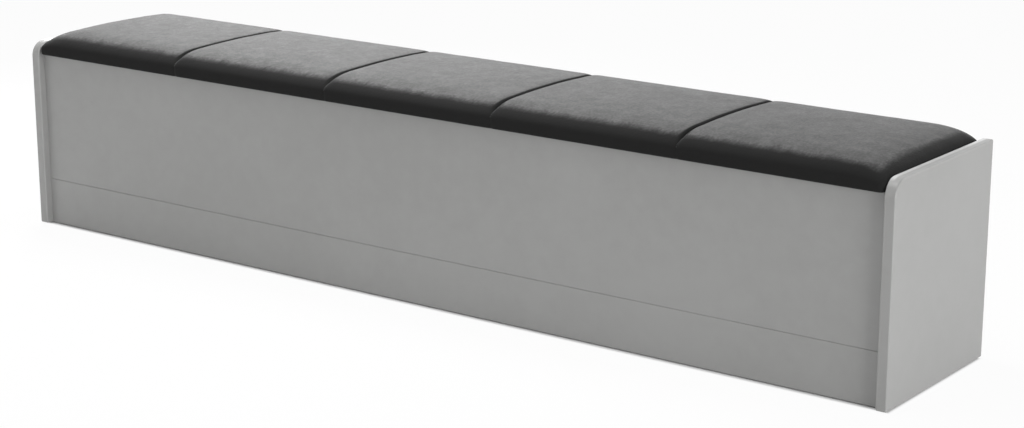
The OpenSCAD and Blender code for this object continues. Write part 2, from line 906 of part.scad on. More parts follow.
// Each point of the cross-section: y, z, the way it swells, and how much
section_points = concat(
    [[seat_front + skirt_in, skirt_front, 0, 0, 0],
     [seat_front + skirt_in / 5, skirt_front + (roll_z - skirt_front) / 2, 0, 0, 0]],
    [for (a = [0:roll_step:90]) [front_centre - front_roll * cos(a),
        roll_z + (edge_top - roll_z) * sin(a), -cos(a), sin(a), a < 1 ? 0 : min(1, a / 45)]],
    [for (i = [1:top_steps - 1]) let (v = 2 * i / top_steps - 1)
        [top_mid + v * top_half, edge_top + seat_crown * (1 - v * v), 0, 1, 1]],
    [for (a = [90:-back_step:0]) [back_centre + back_roll * cos(a),
        roll_z + (edge_top - roll_z) * sin(a), cos(a), sin(a), a / 90]],
    [[seat_back - skirt_in / 5, (roll_z + skirt_back) / 2, 0, 0, 0],
     [seat_back - skirt_in, skirt_back, 0, 0, 0]]
);

function draw_in(y, inset) = let (mid = (seat_front + seat_back) / 2, half = (seat_back - seat_front) / 2)
    mid + (y - mid) * (half - inset) / half;

function ring(x) = [for (p = section_points)
    let (move = swell(x) * p[4], z = p[1] + move * p[3],
        full = edge_top + seat_crown - skirt_front,
        low = z - end_drop(x) * max(0, (z - skirt_front) / full))
    [x, draw_in(p[0] + move * p[2], end_inset(x)), low]];

// Stations along the right half, from the middle outwards, and then the whole length
half_stations = concat(
    [for (k = [0:seat_sections - 1], s = middle_steps)
        (k + 0.5 + s - seat_sections / 2) * section_length],
    [for (k = [1:seat_sections - 1], s = seam_steps, side = [-1, 1])
        if (s > 0 || side > 0) (k - seat_sections / 2) * section_length + side * s * channel_run],
    [for (s = end_steps, side = [-1, 1]) side * (seat_end - s * end_roll)]
);

function sorted(list) = len(list) < 2 ? list : let (pivot = list[floor(len(list) / 2)])
    concat(sorted([for (v = list) if (v < pivot) v]), [pivot],
        sorted([for (v = list) if (v > pivot) v]));

stations = sorted(half_stations);

module padding_form() {
    n = len(section_points);
    m = len(stations);
    points = [for (x = stations) each ring(x)];
    walls = [for (i = [0:m - 2], j = [0:n - 1]) let (k = (j + 1) % n)
        each [[i * n + j, (i + 1) * n + j, (i + 1) * n + k], [i * n + j, (i + 1) * n + k, i * n + k]]];
    first_cap = [for (j = [1:n - 2]) [0, j, j + 1]];
    last_cap = [for (j = [1:n - 2]) [(m - 1) * n, (m - 1) * n + j + 1, (m - 1) * n + j]];
    polyhedron(points = points, faces = concat(walls, first_cap, last_cap), convexity = 6);
}

foam_outline = concat(
    [[front_centre - front_roll + cover_t, lid_top]],
    [for (a = [0:foam_step:90]) [front_centre - (front_roll - cover_t) * cos(a),
        roll_z + (edge_top - roll_z - cover_t) * sin(a)]],
    [[back_centre, edge_top - cover_t],
     [back_centre + back_roll - cover_t, roll_z + (edge_top - roll_z - cover_t) / 3],
     [back_centre + back_roll - cover_t, lid_top]]
);

// Height of the foam at a distance along the bench, so that the cover keeps its thickness at the ends
function foam_height(x) = edge_top - cover_t - end_drop(x);

foam_side = concat(
    [for (x = [foam_end, seat_end - end_roll / 2, seat_end - end_roll]) [x, foam_height(x)]],
    [for (x = [seat_end - end_roll, seat_end - end_roll / 2, foam_end]) [-x, foam_height(x)]],
    [[-foam_end, lid_top], [foam_end, lid_top]]
);

// Outline with its upper and outer points moved out by grow
function grown(outline, middle, grow) = [for (p = outline)
    [p[0] + (p[0] < middle ? -grow : grow), p[1] > lid_top ? p[1] + grow : p[1]]];

// Block of foam, or the slightly larger space for it inside the cover
module foam_block(grow) {
    intersection() {
        translate([-seat_end, 0, 0]) rotate([90, 0, 90])
            linear_extrude(2 * seat_end) polygon(grown(foam_outline, top_mid, grow));
        translate([0, half_y, 0]) rotate([90, 0, 0])
            linear_extrude(bench_depth) polygon(grown(foam_side, 0, grow));
    }
}

module seat_foam() {
    color(foam_cream) foam_block(0);
}

module seat_cover() {
    color(cover_grey) difference() {
        padding_form();
        foam_block(soft_gap);
        lid_block(soft_gap, lid_under - over, lid_board_t + over);
    }
}

mirror([1, 0, 0]) end_panel();  // left_end_panel
end_panel();  // right_end_panel
front_panel();
plinth_board();
back_panel();
centre_divider();
mirror([1, 0, 0]) base_panel();  // left_base_panel
base_panel();  // right_base_panel
front_battens();
back_battens();
end_battens();
divider_battens();
batten_screws();
corner_cams();
corner_bolts();
corner_dowels();
divider_cams();
divider_bolts();
plinth_dowels();
floor_glides();
lid_pads();
fixed_leaf(0);  // hinge_1_fixed_leaf
fixed_leaf(1);  // hinge_2_fixed_leaf
fixed_leaf(2);  // hinge_3_fixed_leaf
fixed_leaf(3);  // hinge_4_fixed_leaf
hinge_pin(0);  // hinge_1_pin
hinge_pin(1);  // hinge_2_pin
hinge_pin(2);  // hinge_3_pin
hinge_pin(3);  // hinge_4_pin
fixed_leaf_screws();
mirror([1, 0, 0]) stay_plate();  // left_stay_plate
stay_plate();  // right_stay_plate
mirror([1, 0, 0]) guide_stud();  // left_guide_stud
guide_stud();  // right_guide_stud
stay_plate_screws();
lid_board();
seat_foam();
seat_cover();
lid_lining();
moving_leaf(0);  // hinge_1_moving_leaf
moving_leaf(1);  // hinge_2_moving_leaf
moving_leaf(2);  // hinge_3_moving_leaf
moving_leaf(3);  // hinge_4_moving_leaf
moving_leaf_screws();
mirror([1, 0, 0]) stay_bracket();  // left_stay_bracket
stay_bracket();  // right_stay_bracket
mirror([1, 0, 0]) stay_rivet();  // left_stay_rivet
stay_rivet();  // right_stay_rivet
stay_bracket_screws();
mirror([1, 0, 0]) stay_washer();  // left_stay_washer
stay_washer();  // right_stay_washer
mirror([1, 0, 0]) stay_arm();  // left_stay_arm
stay_arm();  // right_stay_arm
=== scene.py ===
import math

import bpy
import numpy as np
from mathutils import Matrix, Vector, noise


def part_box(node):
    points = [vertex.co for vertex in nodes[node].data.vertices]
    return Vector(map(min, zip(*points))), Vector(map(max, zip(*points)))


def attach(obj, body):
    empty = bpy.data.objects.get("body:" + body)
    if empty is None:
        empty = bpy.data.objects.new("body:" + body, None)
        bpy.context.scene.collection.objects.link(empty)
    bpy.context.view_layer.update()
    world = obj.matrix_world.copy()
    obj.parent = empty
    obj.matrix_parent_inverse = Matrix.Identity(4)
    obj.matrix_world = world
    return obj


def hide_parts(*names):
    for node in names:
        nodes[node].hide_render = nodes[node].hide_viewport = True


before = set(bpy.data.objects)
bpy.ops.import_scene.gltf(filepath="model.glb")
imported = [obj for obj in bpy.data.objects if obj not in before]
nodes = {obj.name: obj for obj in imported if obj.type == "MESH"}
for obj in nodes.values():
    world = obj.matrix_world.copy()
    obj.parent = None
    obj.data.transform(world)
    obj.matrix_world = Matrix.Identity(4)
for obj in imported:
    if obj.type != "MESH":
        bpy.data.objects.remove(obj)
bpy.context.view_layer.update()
scene = bpy.context.scene


# End panels: two upright slabs of 22 mm board, sprayed with a satin grey lacquer. The front top
# corner is a wide round shoulder, the other corners are only eased, and both faces run into the
# edge over a soft arris. Every other board of the bench is fixed between them.
PANEL_SHOULDER = 0.034
PANEL_CORNER = 0.003
PANEL_ARRIS = 0.0025
# Edges are lighter in colour: partly rubbed lacquer, partly a painted highlight.
PANEL_WEAR_AND_HIGHLIGHT_WIDTH = 0.004
EDGE_WEAR_AND_HIGHLIGHT = 0.1
# Painted highlight along the inner side of each end panel's top: strong on the right panel, faint on the
# left.
TOP_HIGHLIGHT = {"left": 0.10, "right": 1.25}
TOP_HIGHLIGHT_START = 0.001
TOP_HIGHLIGHT_RUN = 0.007
TOP_HIGHLIGHT_WIDE = 0.013
TOP_HIGHLIGHT_REST = 0.1
ARRIS_STEPS = 5
CORNER_STEPS = 6
SHOULDER_STEPS = 24
LACQUER = (0.350, 0.350, 0.345, 1)
LACQUER_SHADE = (0.318, 0.318, 0.312, 1)
# Light colour of the rubbed edges and of the painted highlights.
LACQUER_RUB_AND_HIGHLIGHT = (0.78, 0.78, 0.775, 1)
CLOUD_SCALE = 2.2
SPECKLE_SCALE = 35.0
DUST_SCALE = 22.0
DUST_RISE = 0.05
PEEL_SCALE = 620.0
PEEL_HEIGHT = 0.000012
SAG_SCALE = 70.0
SAG_HEIGHT = 0.00004


class Wire:
    """A socket in a node tree that takes part in Python arithmetic."""

    def __init__(self, tree, socket=None):
        self.tree = tree
        self.socket = socket

    def node(self, kind, settings=None, sockets=None, output=0):
        """Adds a node of that kind: its settings first, then the values or wires of its sockets."""
        made = self.tree.nodes.new(kind)
        for name, value in (settings or {}).items():
            setattr(made, name, value)
        for name, value in (sockets or {}).items():
            if isinstance(value, Wire):
                self.tree.links.new(value.socket, made.inputs[name])
            else:
                made.inputs[name].default_value = value
        return Wire(self.tree, made.outputs[output])

    def other(self, output):
        """Another output of the node that this wire leaves."""
        return Wire(self.tree, self.socket.node.outputs[output])

    def maths(self, operation, *values):
        """A Math node on those values."""
        return self.node("ShaderNodeMath", {"operation": operation}, dict(enumerate(values)))

    def __add__(self, value):
        return self.maths("ADD", self, value)

    def __mul__(self, value):
        return self.maths("MULTIPLY", self, value)

    def __sub__(self, value):
        return self.maths("SUBTRACT", self, value)

    def __rsub__(self, value):
        return self.maths("SUBTRACT", value, self)

    __radd__ = __add__
    __rmul__ = __mul__

    def least(self, value):
        return self.maths("MINIMUM", self, value)

    def most(self, value):
        return self.maths("MAXIMUM", self, value)

    def step(self, start, end):
        """Rises smoothly from 0 where this wire is at start to 1 where it is at end."""
        limits = {"Value": self, "From Min": start, "From Max": end}
        return self.node("ShaderNodeMapRange", {"interpolation_type": "SMOOTHSTEP"}, limits)

    def mix(self, first, second):
        """Mixes two colours, by this wire."""
        return self.node("ShaderNodeMix", {"data_type": "RGBA"}, {0: self, 6: first, 7: second}, 2)

    def stretched(self, x, y, z):
        """These coordinates, each multiplied."""
        return self.node("ShaderNodeMapping", None, {"Vector": self, "Scale": (x, y, z)})

    def grain(self, scale, detail=2.0, roughness=0.5):
        """Noise on these coordinates, from 0 to 1."""
        values = {"Vector": self, "Scale": scale, "Detail": detail, "Roughness": roughness}
        return self.node("ShaderNodeTexNoise", None, values)

    def bump(self):
        """A normal from this wire, which is a height in metres."""
        return self.node("ShaderNodeBump", None, {"Height": self, "Strength": 1.0, "Distance": 1.0})


def new_finish(name, constants):
    """A material with the constants set on its shader's own sockets, and its object coordinates."""
    material = bpy.data.materials.new(name)
    material.use_nodes = True
    shader = material.node_tree.nodes["Principled BSDF"]
    for socket, value in constants.items():
        shader.inputs[socket].default_value = value
    place = Wire(material.node_tree).node("ShaderNodeTexCoord", output="Object")
    return material, place


def feed(material, sockets):
    """Links wires to sockets of the material's shader."""
    shader = material.node_tree.nodes["Principled BSDF"]
    for name, wire in sockets.items():
        material.node_tree.links.new(wire.socket, shader.inputs[name])


def box_edge(place, low, high):
    """Distance from a point on a box to the box's nearest edge, in metres."""
    x = place.node("ShaderNodeSeparateXYZ", None, {"Vector": place})
    from_x = (x - low.x).least(high.x - x)
    from_y = (x.other("Y") - low.y).least(high.y - x.other("Y"))
    from_z = (x.other("Z") - low.z).least(high.z - x.other("Z"))
    return from_x.least(from_y).most(from_x.most(from_y).least(from_z))


def lacquer(name, low, high, wear_and_highlight_width, top_highlight_share=0):
    """Sprayed satin lacquer: faint clouds and orange peel, lighter along the edges, partly rubbed and
    partly a painted highlight, and with a painted highlight along the inner side of the top, by the seat's
    cover."""
    material, place = new_finish(name, {"Coat Roughness": 0.22, "Coat IOR": 1.5})
    speckle = place.grain(SPECKLE_SCALE, 3.0)
    tone = (place.grain(CLOUD_SCALE, 3.0) * 0.7 + speckle * 0.3).step(0.3, 0.7)
    x = place.node("ShaderNodeSeparateXYZ", None, {"Vector": place})
    z = x.other("Z")
    # Lighter along the edges: partly rubbed lacquer, partly a painted highlight.
    along_edge = (1 - box_edge(place, low, high).step(0, wear_and_highlight_width)) * EDGE_WEAR_AND_HIGHLIGHT
    outwards = x.maths("ABSOLUTE", x) - min(abs(low.x), abs(high.x))
    inner_share = 1 - outwards.step(TOP_HIGHLIGHT_WIDE / 2, TOP_HIGHLIGHT_WIDE) * (1 - TOP_HIGHLIGHT_REST)
    # Painted highlight along the inner side of the top, next to the seat's cover.
    top_highlight_mask = z.step(high.z - TOP_HIGHLIGHT_RUN, high.z - TOP_HIGHLIGHT_START) * inner_share * top_highlight_share
    rub_and_highlight = along_edge.most(top_highlight_mask) * (0.45 + speckle * 0.55)
    dust = (1 - z.step(0.0, DUST_RISE)) * place.stretched(1, 1, 6).grain(DUST_SCALE, 4.0) * 0.5
    colour = rub_and_highlight.mix(tone.mix(LACQUER_SHADE, LACQUER), LACQUER_RUB_AND_HIGHLIGHT)
    colour = dust.mix(colour, LACQUER_SHADE)
    peel = place.grain(PEEL_SCALE, 1.0) * PEEL_HEIGHT + place.grain(SAG_SCALE, 2.0) * SAG_HEIGHT
    feed(material, {
        "Base Color": colour,
        "Roughness": 0.36 + tone * 0.06 - rub_and_highlight * 0.10 + dust * 0.2,
        "Coat Weight": 0.22 + rub_and_highlight * 0.25,
        "Normal": peel.bump(),
    })
    return material


def eased_outline(low, high, radii, steps):
    """Points and outward directions round a rectangle with round corners, from its low corner."""
    outline = []
    for corner, (radius, count) in enumerate(zip(radii, steps)):
        centre_u = low[0] + radius if corner in (0, 3) else high[0] - radius
        centre_v = low[1] + radius if corner in (0, 1) else high[1] - radius
        for i in range(count + 1):
            angle = math.pi + (corner + i / count) * math.pi / 2
            out = (math.cos(angle), math.sin(angle))
            outline.append(((centre_u + radius * out[0], centre_v + radius * out[1]), out))
    return outline


def slab(name, outline, start, end, arris, material):
    """Board between two planes across X, with that outline in YZ and a round arris at both faces."""
    turns = [math.pi / 2 * i / ARRIS_STEPS for i in range(ARRIS_STEPS + 1)]
    profile = [(start + arris * (1 - math.cos(a)), arris * (1 - math.sin(a)), -math.cos(a)) for a in turns]
    profile += [(start + end - x, inset, -lean) for x, inset, lean in reversed(profile)]
    points = []
    normals = []
    for x, inset, lean in profile:
        flat = math.sqrt(1 - lean * lean)
        for (y, z), (out_y, out_z) in outline:
            points.append((x, y - inset * out_y, z - inset * out_z))
            normals.append((lean, flat * out_y, flat * out_z))
    count = len(outline)
    faces = [tuple(reversed(range(count))), tuple(range(len(points) - count, len(points)))]
    for ring in range(len(profile) - 1):
        for k in range(count):
            a = ring * count + k
            b = ring * count + (k + 1) % count
            faces.append((a, b, b + count, a + count))
    made = mesh_piece(name, points, faces, material)
    made.data.normals_split_custom_set_from_vertices(normals)
    return made


def mesh_piece(name, points, faces, material):
    """A smooth mesh object at the origin."""
    mesh = bpy.data.meshes.new(name)
    mesh.from_pydata(points, [], faces)
    mesh.materials.append(material)
    mesh.shade_smooth()
    made = bpy.data.objects.new(name, mesh)
    scene.collection.objects.link(made)
    return made


def dress(node, material):
    """Gives a CAD node its material."""
    nodes[node].data.materials.clear()
    nodes[node].data.materials.append(material)


for side in ("left", "right"):
    low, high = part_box(f"{side}_end_panel")
    outline = eased_outline(
        low.yz, high.yz, (PANEL_CORNER,) * 3 + (PANEL_SHOULDER,), (CORNER_STEPS,) * 3 + (SHOULDER_STEPS,)
    )
    finish = lacquer(f"{side}_end_lacquer", low, high, PANEL_WEAR_AND_HIGHLIGHT_WIDTH, TOP_HIGHLIGHT[side])
    panel = slab(f"{side}_end_slab", outline, low.x, high.x, PANEL_ARRIS, finish)
    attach(panel, "carcass")
    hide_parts(f"{side}_end_panel")


# Front panel, plinth board and back panel: 18 mm boards in the same lacquer, let in between the end
# panels. The plinth board closes the foot of the front with a hairline joint under the front panel.
# Width of the lighter edges, which are partly rubbed and partly a painted highlight.
FACE_WEAR_AND_HIGHLIGHT_WIDTH = 0.0008

for board in ("front_panel", "plinth_board", "back_panel"):
    dress(board, lacquer(f"{board}_lacquer", *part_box(board), FACE_WEAR_AND_HIGHLIGHT_WIDTH))


# Inside: a divider of 16 mm board in the middle, drawn up to the front and back panels by cams, and
# a loose floor board in each bay, laid on battens. All are lacquered like the outside.
INSIDE_WEAR_AND_HIGHLIGHT_WIDTH = 0.0015

for board in ("centre_divider", "left_base_panel", "right_base_panel"):
    dress(board, lacquer(f"{board}_lacquer", *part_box(board), INSIDE_WEAR_AND_HIGHLIGHT_WIDTH))


# Battens and dowels: planed beech. The battens are screwed on under the floor boards, the dowels
# are glued into the board ends.
BEECH = (0.56, 0.37, 0.22, 1)
BEECH_DARK = (0.40, 0.24, 0.13, 1)
RINGS_ALONG = 1.5
RINGS_ACROSS = 30
RING_HEIGHT = 0.00003
FLECKS_ALONG = 60
FLECKS_ACROSS = 900
FLECK_DEPTH = 0.00004


def beech(name, along):
    """Planed beech with its grain along the given axis, and the short dark flecks of its rays."""
    material, place = new_finish(name, {"Coat Roughness": 0.4})
    growth = place.stretched(*(RINGS_ALONG if axis == along else RINGS_ACROSS for axis in range(3)))
    fleck = place.stretched(*(FLECKS_ALONG if axis == along else FLECKS_ACROSS for axis in range(3)))
    rings = growth.grain(2.0, 4.0, 0.6).step(0.35, 0.65)
    flecks = fleck.grain(1.0, 1.0).step(0.62, 0.75)
    colour = (flecks * 0.5).mix(rings.mix(BEECH, BEECH_DARK), BEECH_DARK)
    height = rings * RING_HEIGHT - flecks * FLECK_DEPTH
    feed(material, {"Base Color": colour, "Roughness": 0.5 + rings * 0.12, "Normal": height.bump()})
    return material


beech_x = beech("beech_lengthwise", 0)
beech_y = beech("beech_crosswise", 1)
beech_z = beech("beech_upright", 2)
for node in ("front_battens", "back_battens", "corner_dowels"):
    dress(node, beech_x)
for node in ("end_battens", "divider_battens"):
    dress(node, beech_y)
dress("plinth_dowels", beech_z)


# Board fittings, screws, rivets and studs: pressed and turned steel, zinc plated. Cams and bolts
# draw the boards together, and the screws hold the battens, the hinges and the stays.
ZINC = (0.60, 0.61, 0.63, 1)
ZINC_DULL = (0.44, 0.45, 0.47, 1)
STEEL = (0.68, 0.68, 0.69, 1)
STEEL_DULL = (0.52, 0.52, 0.53, 1)
TUMBLED = (600, 600, 600)
DULL_PATCH_SCALE = 90.0
MARK_DEPTH = 0.000006
PLATING_SCALE = 1500.0
PLATING_HEIGHT = 0.000003


def plated(name, bright, dull, brush):
    """Plated steel with dull patches and fine rolling marks."""
    material, place = new_finish(name, {"Metallic": 1.0})
    patches = place.grain(DULL_PATCH_SCALE, 4.0, 0.6).step(0.35, 0.7)
    marks = place.stretched(*brush).grain(1.0, 2.0)
    feed(material, {
        "Base Color": (patches * 0.7 + marks * 0.3).mix(bright, dull),
        "Roughness": 0.26 + patches * 0.16 + marks * 0.08,
        "Normal": (marks * MARK_DEPTH + place.grain(PLATING_SCALE, 1.0) * PLATING_HEIGHT).bump(),
    })
    return material


zinc = plated("zinc_plate", ZINC, ZINC_DULL, TUMBLED)
for node in ("corner_cams", "corner_bolts", "divider_cams", "divider_bolts", "batten_screws",
             "fixed_leaf_screws", "moving_leaf_screws", "stay_plate_screws", "stay_bracket_screws",
             "left_guide_stud", "right_guide_stud", "left_stay_rivet", "right_stay_rivet"):
    dress(node, zinc)


# Floor glides: small discs of dark grey plastic, moulded with a nail that is knocked into the end
# panels and the divider from below.
GLIDE_GREY = (0.055, 0.055, 0.056, 1)
GLIDE_WORN = (0.13, 0.13, 0.128, 1)
SCUFF_SCALE = 900.0
MOULD_SCALE = 1800.0
MOULD_HEIGHT = 0.00001

glide_plastic, place = new_finish("glide_plastic", {"Coat Weight": 0.0})
scuffs = place.stretched(1, 0.2, 1).grain(SCUFF_SCALE, 3.0).step(0.5, 0.75)
feed(glide_plastic, {
    "Base Color": scuffs.mix(GLIDE_GREY, GLIDE_WORN),
    "Roughness": 0.42 + scuffs * 0.25,
    "Normal": (place.grain(MOULD_SCALE, 1.0) * MOULD_HEIGHT).bump(),
})
dress("floor_glides", glide_plastic)


# Lid pads and stay washers: soft clear polyurethane. The pads are stuck on the front panel's top
# edge, where the lid comes down, and the washers are slipped on the rivets beside the arms.
PAD_CLEAR = (0.80, 0.82, 0.82, 1)
PAD_DUSTY = (0.62, 0.63, 0.62, 1)
PAD_DUST_SCALE = 700.0
PAD_SKIN_SCALE = 1200.0
PAD_SKIN_HEIGHT = 0.000015

pad_rubber, place = new_finish("pad_rubber", {"Transmission Weight": 0.45, "IOR": 1.46})
dusty = place.grain(PAD_DUST_SCALE, 3.0).step(0.45, 0.7)
feed(pad_rubber, {
    "Base Color": dusty.mix(PAD_CLEAR, PAD_DUSTY),
    "Roughness": 0.22 + dusty * 0.3,
    "Normal": (place.grain(PAD_SKIN_SCALE, 1.0) * PAD_SKIN_HEIGHT).bump(),
})
for node in ("lid_pads", "left_stay_washer", "right_stay_washer"):
    dress(node, pad_rubber)


# Hinges and lid stays: bright plated strip. The leaves and the arms are rolled lengthwise, so their
# fine marks run that way.
HINGES = 4
ROLLED_ALONG_X = (40, 2600, 2600)
ROLLED_ALONG_Y = (2600, 60, 2600)

strip_x = plated("strip_lengthwise", STEEL, STEEL_DULL, ROLLED_ALONG_X)
strip_y = plated("strip_crosswise", STEEL, STEEL_DULL, ROLLED_ALONG_Y)
for number in range(1, HINGES + 1):
    for part in ("fixed_leaf", "moving_leaf"):
        dress(f"hinge_{number}_{part}", strip_x)
    dress(f"hinge_{number}_pin", zinc)
for side in ("left", "right"):
    for part in ("plate", "bracket", "arm"):
        dress(f"{side}_stay_{part}", strip_y)


# Lid board: raw particle board, pressed from wood chips. Foam is glued on it, and the cover is drawn
# round its edges.
CHIP_PALE = (0.50, 0.36, 0.22, 1)
CHIP_DARK = (0.24, 0.15, 0.085, 1)
CHIP_SCALE = 260.0
CHIP_HEIGHT = 0.00012

chipboard, place = new_finish("chipboard", {"Coat Weight": 0.0})
pressed = place.stretched(1, 1, 3)
chips = place.node("ShaderNodeTexVoronoi", None, {"Vector": pressed, "Scale": CHIP_SCALE}, "Color")
tone = chips.node("ShaderNodeSeparateColor", None, {"Color": chips})
feed(chipboard, {
    "Base Color": tone.mix(CHIP_PALE, CHIP_DARK),
    "Roughness": 0.78 + tone * 0.15,
    "Normal": (tone * CHIP_HEIGHT).bump(),
})
dress("lid_board", chipboard)


# Seat foam: one block of open-cell polyurethane, glued on the lid board. Its long edges are cut round
# and its ends are bevelled, so that the wadding and the cover roll over them.
UNDERSIDE, FOAM_REST = (corner.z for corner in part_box("lid_board"))
EDGE_LEVEL = UNDERSIDE + 0.0535
ROLL_LEVEL = UNDERSIDE + 0.0195
FRONT_ROLL = 0.088
BACK_ROLL = 0.050
END_ROLL = 0.082
END_FALL = 0.029
WADDING = 0.0086
FOAM_BEVEL_STEPS = 6
FOAM_ARC_STEPS = 9
FOAM_SHARP = 35
CELL_SCALE = 900.0
CELL_DEPTH = 0.0004
FOAM = (0.70, 0.62, 0.40, 1)
FOAM_SHADE = (0.52, 0.44, 0.26, 1)

seat_low, seat_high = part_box("seat_cover")
foam_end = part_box("seat_foam")[1].x


def rolled(distance, width):
    """Height share of a round edge: 0 at the very edge, 1 where the roll ends."""
    t = np.clip(distance / width, 0, 1)
    return np.sqrt(np.clip(1 - (1 - t) ** 2, 0, 1))


def end_share(x):
    """Share of the seat's height that the end roll takes off at a place along it."""
    return END_FALL * (1 - rolled(seat_high.x - np.abs(x), END_ROLL)) / (EDGE_LEVEL - UNDERSIDE)


def foam_ring(x):
    """The block's cross-section at a place along it, from the front foot over the top."""
    turns = np.linspace(0, math.pi / 2, FOAM_ARC_STEPS)
    rise = (EDGE_LEVEL - ROLL_LEVEL - WADDING) * np.sin(turns)
    front = seat_low.y + FRONT_ROLL - (FRONT_ROLL - WADDING) * np.cos(turns)
    back = seat_high.y - BACK_ROLL + (BACK_ROLL - WADDING) * np.cos(turns)
    y = np.concatenate([[front[0]], front, back[::-1], [back[0]]])
    z = np.concatenate([[FOAM_REST], ROLL_LEVEL + rise, ROLL_LEVEL + rise[::-1], [FOAM_REST]])
    z = z - end_share(x) * (z - UNDERSIDE) * (z > FOAM_REST)
    return np.column_stack([np.full(len(y), x), y, z])


foam_finish, place = new_finish("foam_cells", {"Subsurface Weight": 0.1, "Subsurface Scale": 0.004})
cells = place.node("ShaderNodeTexVoronoi", None, {"Vector": place, "Scale": CELL_SCALE})
feed(foam_finish, {
    "Base Color": cells.step(0.0, 0.6).mix(FOAM_SHADE, FOAM),
    "Roughness": 0.9 - cells * 0.1,
    "Normal": (cells * CELL_DEPTH).bump(),
})
bevel = np.linspace(foam_end, seat_high.x - END_ROLL, FOAM_BEVEL_STEPS)
rings = [foam_ring(x) for x in np.concatenate([-bevel, bevel[::-1]])]
count = len(rings[0])
points = np.concatenate(rings)
faces = [tuple(range(count)), tuple(range(len(points) - 1, len(points) - count - 1, -1))]
for ring in range(len(rings) - 1):
    for k in range(count):
        a = ring * count + k
        b = ring * count + (k + 1) % count
        faces.append((a, a + count, b + count, b))
foam = mesh_piece("seat_foam_block", points.tolist(), faces, foam_finish)
foam.data.set_sharp_from_angle(angle=math.radians(FOAM_SHARP))
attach(foam, "lid")
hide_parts("seat_foam")


# Seat cover: dark grey velour over wadding, in five panels. It is sewn down along the four channels,
# rolls wide over the front and less over the back and ends, and is turned under the lid board, where
# it is stapled. Its colour is lit on the top and painted with shade over the rolls, where the surface
# turns down, and along the channels, where it is partly pressed pile and partly painted shade.
SECTIONS = 5
PLAN_CORNER = 0.013
CROWN = 0.003
CLOTH = 0.0005
CHANNEL_DEPTH = 0.0026
CHANNEL_RUN = 0.024
CHANNEL_FADE_FRONT = 0.020
CHANNEL_FADE_BACK = 0.012
CHANNEL_AT_EDGE = 0.25
STITCH_DEPTH = 0.0042
STITCH_RUN = 0.0034
SEAM_SHADE = 0.0054
SEAM_OFFSETS = (0.0012, 0.0026, 0.0045, 0.0070, 0.0100, 0.0140, 0.0190, 0.0250)
GRID = 0.0072
END_ARC_STEPS = 17
FRONT_ARC_STEPS = 19
BACK_ARC_STEPS = 13
RIPPLE = 0.0004
RIPPLE_WAVES = ((9, 14, 3.0, 1.0), (31, 24, 8.0, 0.5))
TURN_FRONT = ((0.0022, 0.0007), (0.0038, -0.0001), (0.0055, -0.00045), (0.0080, -0.0005))
TURN_BACK = ((0.0052, 0.0022), (0.0076, 0.0004), (0.0090, -0.0004), (0.0110, -0.0005))
WALL_FRONT = 0.0020
WALL_BACK = 0.0038
WALL_STEPS = 5
WALL_DRAW = 0.0014
BACK_START = 0.030
BACK_BLEND = 0.025
MARGIN = ((0.017, 0.017), (0.028, 0.030), (0.042, 0.046), (0.056, 0.062))
HELD_FULLY = 0.001
HELD_FADE = 0.004
CLOTH_SETTINGS = {
    "quality": 6, "mass": 0.3, "tension_stiffness": 12, "compression_stiffness": 12,
    "shear_stiffness": 4, "bending_stiffness": 0.2, "uniform_pressure_force": 1.0,
}
CLOTH_START = 0.0006
CLOTH_FRAMES = 12
CLOTH_EASE = 0.0010
CLOTH_SHARE = 0.30

inner_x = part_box("right_end_panel")[0].x
section = 2 * inner_x / SECTIONS
seams = [(k - SECTIONS / 2) * section for k in range(1, SECTIONS)]


def spread(start, end, step):
    """Evenly spaced values strictly between two ends."""
    count = max(1, round(abs(end - start) / step))
    return [start + (end - start) * i / count for i in range(1, count)]


def stations_along():
    """Grid lines across the seat: fine at the end rolls and beside each seam."""
    rolls = [END_ROLL * (1 - math.cos(a)) for a in np.linspace(0, math.pi / 2, END_ARC_STEPS)]
    inner_end = seat_high.x - END_ROLL
    lines = [seat_high.x - r for r in rolls] + [-seat_high.x + r for r in rolls]
    stops = [-inner_end]
    for seam in seams:
        lines += [seam]
        lines += [seam + side * offset for offset in SEAM_OFFSETS for side in (-1, 1)]
        stops += [seam - SEAM_OFFSETS[-1], seam + SEAM_OFFSETS[-1]]
    stops += [inner_end]
    for start, end in zip(stops[::2], stops[1::2]):
        lines += spread(start, end, GRID)
    return np.array(sorted(lines))


def stations_across():
    """Grid lines along the seat: fine over the front and back rolls."""
    turns = np.linspace(0, math.pi / 2, FRONT_ARC_STEPS)
    front = [seat_low.y + FRONT_ROLL * (1 - math.cos(a)) for a in turns]
    turns = np.linspace(0, math.pi / 2, BACK_ARC_STEPS)
    back = [seat_high.y - BACK_ROLL * (1 - math.cos(a)) for a in turns]
    return np.array(sorted(front + spread(front[-1], back[-1], GRID) + back))


